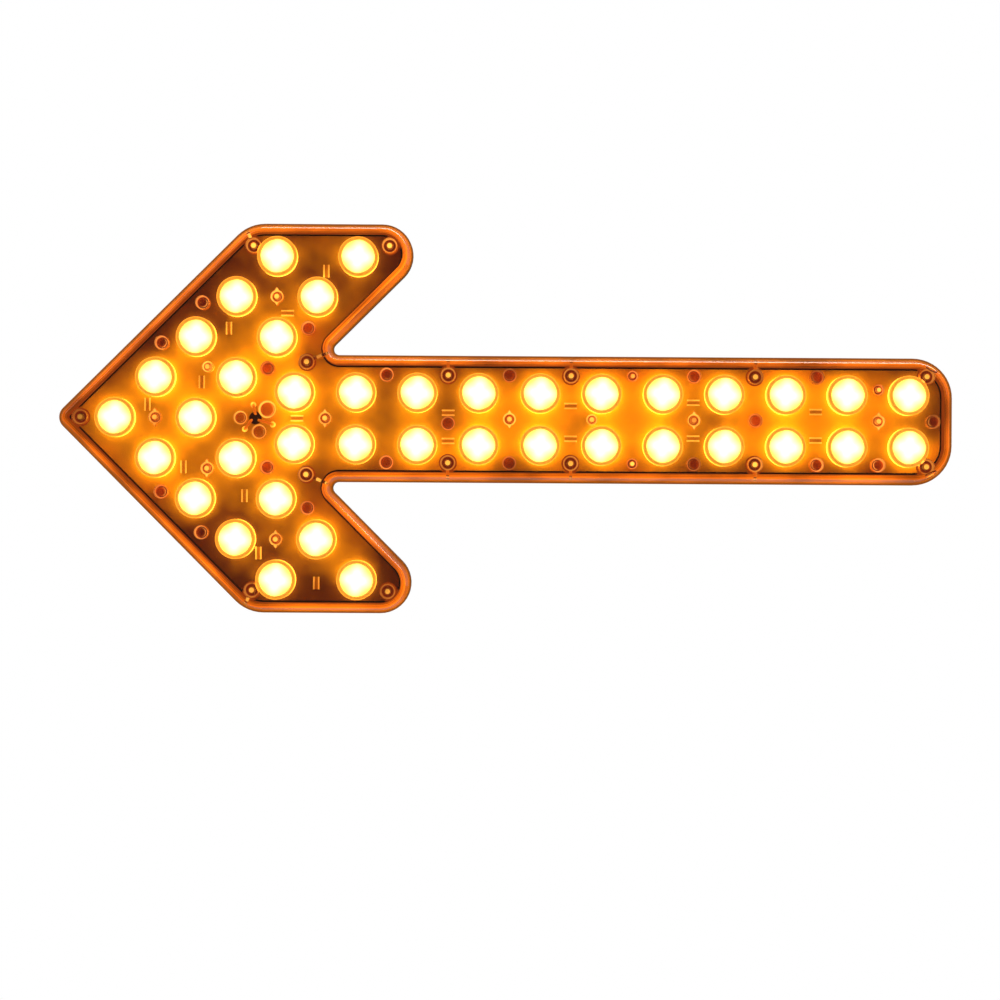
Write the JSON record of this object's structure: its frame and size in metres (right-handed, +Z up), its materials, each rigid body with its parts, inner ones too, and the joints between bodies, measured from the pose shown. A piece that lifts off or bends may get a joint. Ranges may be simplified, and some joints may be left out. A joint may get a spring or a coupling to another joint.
{
  "type": "arrow signal lamp",
  "caption": "Arrow-shaped LED direction lamp: clear amber cover over collimated lamps and their board, black tray, rear mounting studs and a sealed power inlet.",
  "frame": {"origin": "on the mounting face of the tray, on the arrow's axis, midway between the tip and the tail", "axes": "+Z up, -Y out of the lit face, +Y out of the mounting face, -X towards the arrow's tip"},
  "size_m": [0.45, 0.051, 0.196],
  "materials": {
    "amber_cover": "clear amber polycarbonate, polished mould",
    "black_housing": "black moulded ABS, fine grain",
    "black_rubber": "matt silicone rubber",
    "screw_steel": "zinc-plated steel",
    "board_laminate": "glass-epoxy laminate with green solder mask",
    "led_package": "phosphor-coated LED",
    "lens_holder": "natural polycarbonate",
    "lit_lens": "clear acrylic, lit from behind",
    "resistor_body": "black resistor glaze with tinned terminals",
    "chip_epoxy": "black moulding epoxy",
    "capacitor_can": "bright can",
    "wire_sleeve": "silicone wire insulation",
    "solder": "bright solder",
    "nickel_brass": "nickel-plated brass",
    "black_insert": "black polyamide",
    "gold_brass": "gold-plated contact",
    "stainless_stud": "stainless steel"
  },
  "bodies": {
    "root": {"board_screws": "screw_steel", "chip_resistors": "resistor_body", "circuit_board": "board_laminate", "controller_chip": "chip_epoxy", "cover_gasket": "black_rubber", "cover_screws": "screw_steel", "front_cover": "amber_cover", "inlet_insert": "black_insert", "inlet_locknut": "nickel_brass", "inlet_pins": "gold_brass", "inlet_shell": "nickel_brass", "lead_wires": "wire_sleeve", "leds": "led_package", "lens_head_inner_0": "lit_lens", "lens_head_inner_lower_1": "lit_lens", "lens_head_inner_lower_2": "lit_lens", "lens_head_inner_lower_3": "lit_lens", "lens_head_inner_lower_4": "lit_lens", "lens_head_inner_upper_1": "lit_lens", "lens_head_inner_upper_2": "lit_lens", "lens_head_inner_upper_3": "lit_lens", "lens_head_inner_upper_4": "lit_lens", "lens_head_outer_lower_1": "lit_lens", "lens_head_outer_lower_2": "lit_lens", "lens_head_outer_lower_3": "lit_lens", "lens_head_outer_lower_4": "lit_lens", "lens_head_outer_upper_1": "lit_lens", "lens_head_outer_upper_2": "lit_lens", "lens_head_outer_upper_3": "lit_lens", "lens_head_outer_upper_4": "lit_lens", "lens_holders": "lens_holder", "lens_shaft_lower_1": "lit_lens", "lens_shaft_lower_10": "lit_lens", "lens_shaft_lower_11": "lit_lens", "lens_shaft_lower_2": "lit_lens", "lens_shaft_lower_3": "lit_lens", "lens_shaft_lower_4": "lit_lens", "lens_shaft_lower_5": "lit_lens", "lens_shaft_lower_6": "lit_lens", "lens_shaft_lower_7": "lit_lens", "lens_shaft_lower_8": "lit_lens", "lens_shaft_lower_9": "lit_lens", "lens_shaft_upper_1": "lit_lens", "lens_shaft_upper_10": "lit_lens", "lens_shaft_upper_11": "lit_lens", "lens_shaft_upper_2": "lit_lens", "lens_shaft_upper_3": "lit_lens", "lens_shaft_upper_4": "lit_lens", "lens_shaft_upper_5": "lit_lens", "lens_shaft_upper_6": "lit_lens", "lens_shaft_upper_7": "lit_lens", "lens_shaft_upper_8": "lit_lens", "lens_shaft_upper_9": "lit_lens", "lens_tip": "lit_lens", "mounting_studs": "stainless_stud", "protection_diodes": "chip_epoxy", "rear_housing": "black_housing", "seal_rings": "black_rubber", "smoothing_capacitors": "capacitor_can", "solder_joints": "solder"}
  },
  "joints": []
}
